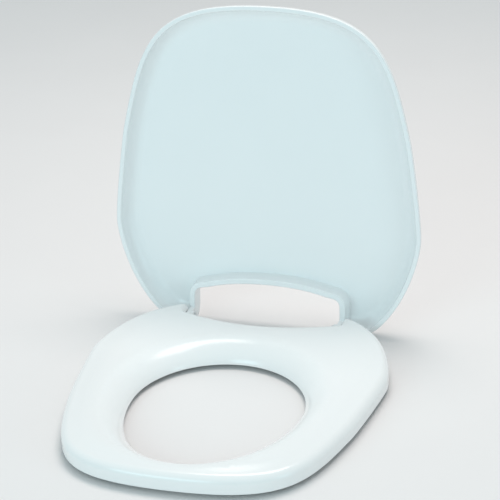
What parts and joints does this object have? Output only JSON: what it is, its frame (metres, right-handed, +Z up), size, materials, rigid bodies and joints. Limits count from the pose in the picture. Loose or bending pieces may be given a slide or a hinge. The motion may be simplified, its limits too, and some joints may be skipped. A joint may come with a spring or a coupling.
{
  "type": "hinged toilet seat and lid",
  "caption": "Raised toilet seat ring with an egg-shaped aperture and a dished lid that swings on rear hinge pins; it rests on rubber buffers.",
  "frame": {"origin": "on the ground under the middle of the whole object's length and width, lid standing open", "axes": "+Z up; the seat's front faces -Y and the hinge and lid are towards +Y; X runs from the sitter's right to left across the seat"},
  "size_m": [0.39, 0.4624, 0.4117],
  "materials": {
    "seat_plastic": "glossy moulded white with a cool tint",
    "lid_plastic": "glossy moulded white with a pale cyan tint",
    "nylon": "satin natural nylon",
    "pin_steel": "satin stainless steel",
    "buffer_rubber": "matte pale grey rubber"
  },
  "bodies": {
    "seat": {"seat_ring": "seat_plastic", "hinge_pin_left": "pin_steel", "pin_clip_left": "pin_steel", "bearing_block_left": "nylon", "block_screw_left_rear": "pin_steel", "block_screw_left_front": "pin_steel", "seat_buffer_front_left": "buffer_rubber", "seat_buffer_rear_left": "buffer_rubber", "hinge_pin_right": "pin_steel", "pin_clip_right": "pin_steel", "bearing_block_right": "nylon", "block_screw_right_rear": "pin_steel", "block_screw_right_front": "pin_steel", "seat_buffer_front_right": "buffer_rubber", "seat_buffer_rear_right": "buffer_rubber"},
    "lid": {"lid_shell": "lid_plastic", "lid_bush_left": "nylon", "lid_bush_right": "nylon"}
  },
  "joints": [
    {"name": "lid_hinge", "type": "hinge", "parent": "seat", "child": "lid", "pos_m": [0, 0.15532, 0.0175], "axis": [1, 0, 0], "range_deg": [0, 95.5]}
  ]
}
